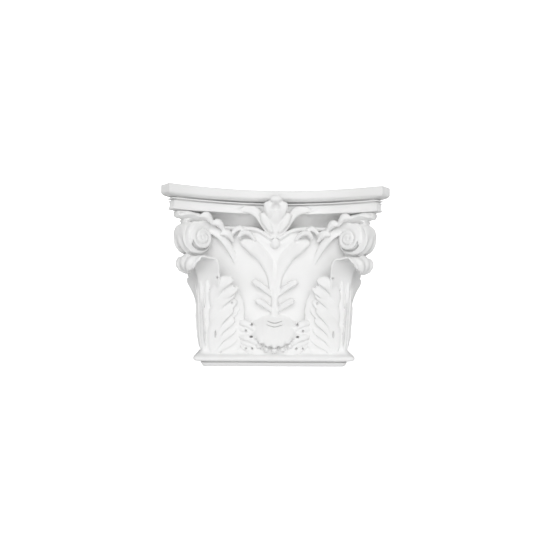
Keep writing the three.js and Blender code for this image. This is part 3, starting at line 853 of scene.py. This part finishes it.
# Material
PRIMER_DARK = (0.845, 0.845, 0.84, 1)
PRIMER_LIGHT = (0.88, 0.88, 0.878, 1)
# painted shade: a grey mixed into the base colour in the creases, standing in for the shade that falls there
PAINTED_SHADE_GREY = (0.5, 0.5, 0.5, 1)
PAINTED_SHADE_POINTINESS = (0.4, 0.478)  # pointiness at which the painted shade of a crease is full, and at which it ends
TONE_RANGE = (0.35, 0.65)  # mottle at which the primer is darkest, and at which it is lightest
MOTTLE_SCALE = 16.0
MOTTLE_DETAIL = 4.0
MOTTLE_RANGE = (0.3, 0.7)
SHEEN_RANGE = (0.6, 0.74)  # roughness at the two ends of the mottle
GRAIN_SCALE = 520.0
GRAIN_DETAIL = 2.0
GRAIN_STRENGTH = 0.35
GRAIN_DEPTH = 0.00025


def moulding_material():
    """Matte white primer: a faint mottle of tone and sheen, a fine grain, and painted shade that darkens the
    creases.
    """
    material = bpy.data.materials.new("moulding_white")
    material.use_nodes = True
    nodes, links = material.node_tree.nodes, material.node_tree.links
    shader = nodes["Principled BSDF"]
    place = nodes.new("ShaderNodeTexCoord").outputs["Object"]

    def noise(scale, detail):
        node = nodes.new("ShaderNodeTexNoise")
        node.inputs["Scale"].default_value = scale
        node.inputs["Detail"].default_value = detail
        links.new(place, node.inputs["Vector"])
        return node.outputs["Fac"]

    def spread(value, low, high, to_low, to_high):
        node = nodes.new("ShaderNodeMapRange")
        for name, number in (("From Min", low), ("From Max", high), ("To Min", to_low), ("To Max", to_high)):
            node.inputs[name].default_value = number
        links.new(value, node.inputs["Value"])
        return node.outputs["Result"]

    mottle = noise(MOTTLE_SCALE, MOTTLE_DETAIL)
    grain = noise(GRAIN_SCALE, GRAIN_DETAIL)
    tone = nodes.new("ShaderNodeValToRGB")
    for element, position, color in zip(tone.color_ramp.elements, TONE_RANGE, (PRIMER_DARK, PRIMER_LIGHT)):
        element.position = position
        element.color = color
    links.new(mottle, tone.inputs["Fac"])
    # painted shade in the creases: where the surface folds in sharply, the base colour darkens towards grey
    painted_shade_amount = spread(nodes.new("ShaderNodeNewGeometry").outputs["Pointiness"], *PAINTED_SHADE_POINTINESS, 1.0, 0.0)
    shade = nodes.new("ShaderNodeMix")
    shade.data_type = "RGBA"
    links.new(painted_shade_amount, shade.inputs["Factor"])
    links.new(tone.outputs["Color"], shade.inputs["A"])
    shade.inputs["B"].default_value = PAINTED_SHADE_GREY
    links.new(shade.outputs["Result"], shader.inputs["Base Color"])
    links.new(spread(mottle, *MOTTLE_RANGE, *SHEEN_RANGE), shader.inputs["Roughness"])
    bump = nodes.new("ShaderNodeBump")
    bump.inputs["Strength"].default_value = GRAIN_STRENGTH
    bump.inputs["Distance"].default_value = GRAIN_DEPTH
    links.new(grain, bump.inputs["Height"])
    links.new(bump.outputs["Normal"], shader.inputs["Normal"])
    return material


# Stage, in metres: a white floor that sweeps up into a white wall
FLOOR_REACH = 30.0
SWEEP_START = 1.2
SWEEP_RADIUS = 0.8
SWEEP_STEPS = 12
BACKDROP_LOOK = (
    ("Base Color", (0.95, 0.95, 0.95, 1)),
    ("Roughness", 0.9),
    ("Emission Color", (1, 1, 1, 1)),
    ("Emission Strength", 1.0),
)


def backdrop_material():
    material = bpy.data.materials.new("backdrop_white")
    material.use_nodes = True
    shader = material.node_tree.nodes["Principled BSDF"]
    for name, value in BACKDROP_LOOK:
        shader.inputs[name].default_value = value
    return material


def stage():
    profile = [(-FLOOR_REACH, 0.0), (SWEEP_START, 0.0)]
    for i in range(1, SWEEP_STEPS + 1):
        angle = math.pi / 2 * i / SWEEP_STEPS
        back = SWEEP_START + SWEEP_RADIUS * math.sin(angle)
        profile.append((back, SWEEP_RADIUS - SWEEP_RADIUS * math.cos(angle)))
    profile.append((SWEEP_START + SWEEP_RADIUS, FLOOR_REACH))
    verts = [(x, y, z) for x in (-FLOOR_REACH, FLOOR_REACH) for y, z in profile]
    count = len(profile)
    faces = [(i, i + 1, count + i + 1, count + i) for i in range(count - 1)]
    mesh = bpy.data.meshes.new("backdrop")
    mesh.from_pydata(verts, [], faces)
    mesh.shade_smooth()
    mesh.materials.append(backdrop_material())
    obj = bpy.data.objects.new("backdrop", mesh)
    bpy.context.scene.collection.objects.link(obj)
    obj.visible_shadow = False
    obj.visible_diffuse = False


# Soft lights: elevation, strength, apparent angle and azimuth
SUNS = (
    ("key", 31.0, 0.9, 40.0, 0.0),
    ("front", 0.0, 0.85, 150.0, 0.0),
    ("fill", -20.0, 0.58, 90.0, 0.0),
    ("bounce", -50.0, 0.22, 80.0, 0.0),
    ("left", 15.0, 0.34, 50.0, -42.0),
    ("right", 15.0, 0.34, 50.0, 42.0),
)
AMBIENT = 0.09


def lights():
    world = bpy.data.worlds.new("studio")
    bpy.context.scene.world = world
    world.use_nodes = True
    background = world.node_tree.nodes["Background"]
    background.inputs["Color"].default_value = (1, 1, 1, 1)
    background.inputs["Strength"].default_value = AMBIENT
    for name, elevation, strength, angle, azimuth in SUNS:
        data = bpy.data.lights.new(name, "SUN")
        data.energy = strength
        data.angle = math.radians(angle)
        obj = bpy.data.objects.new(name, data)
        obj.rotation_euler = (math.radians(90 - elevation), 0, math.radians(azimuth))
        bpy.context.scene.collection.objects.link(obj)
    bpy.context.scene.view_settings.view_transform = "Standard"


# Camera: distance and height in millimetres, angles in degrees
CAMERA_DISTANCE = 706.0
CAMERA_HEIGHT = 176.8
CAMERA_YAW = -1.2
CAMERA_ROLL = -0.52
FOCAL_PIXELS = 371.8
PHOTO_PIXELS = 550.0
SENSOR = 36.0


def camera():
    data = bpy.data.cameras.new("camera")
    data.sensor_fit = "HORIZONTAL"
    data.sensor_width = SENSOR
    data.lens = SENSOR * FOCAL_PIXELS / PHOTO_PIXELS
    obj = bpy.data.objects.new("camera", data)
    yaw = math.radians(CAMERA_YAW)
    obj.location = Vector((math.sin(yaw), -math.cos(yaw), 0)) * CAMERA_DISTANCE * MM
    obj.location.z = CAMERA_HEIGHT * MM
    obj.rotation_euler = (math.pi / 2, math.radians(CAMERA_ROLL), yaw)
    bpy.context.scene.collection.objects.link(obj)
    bpy.context.scene.camera = obj


camera()
lights()
stage()
capital = build_capital()
capital.data.materials.clear()
capital.data.materials.append(moulding_material())
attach(capital, "root")
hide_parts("capital")
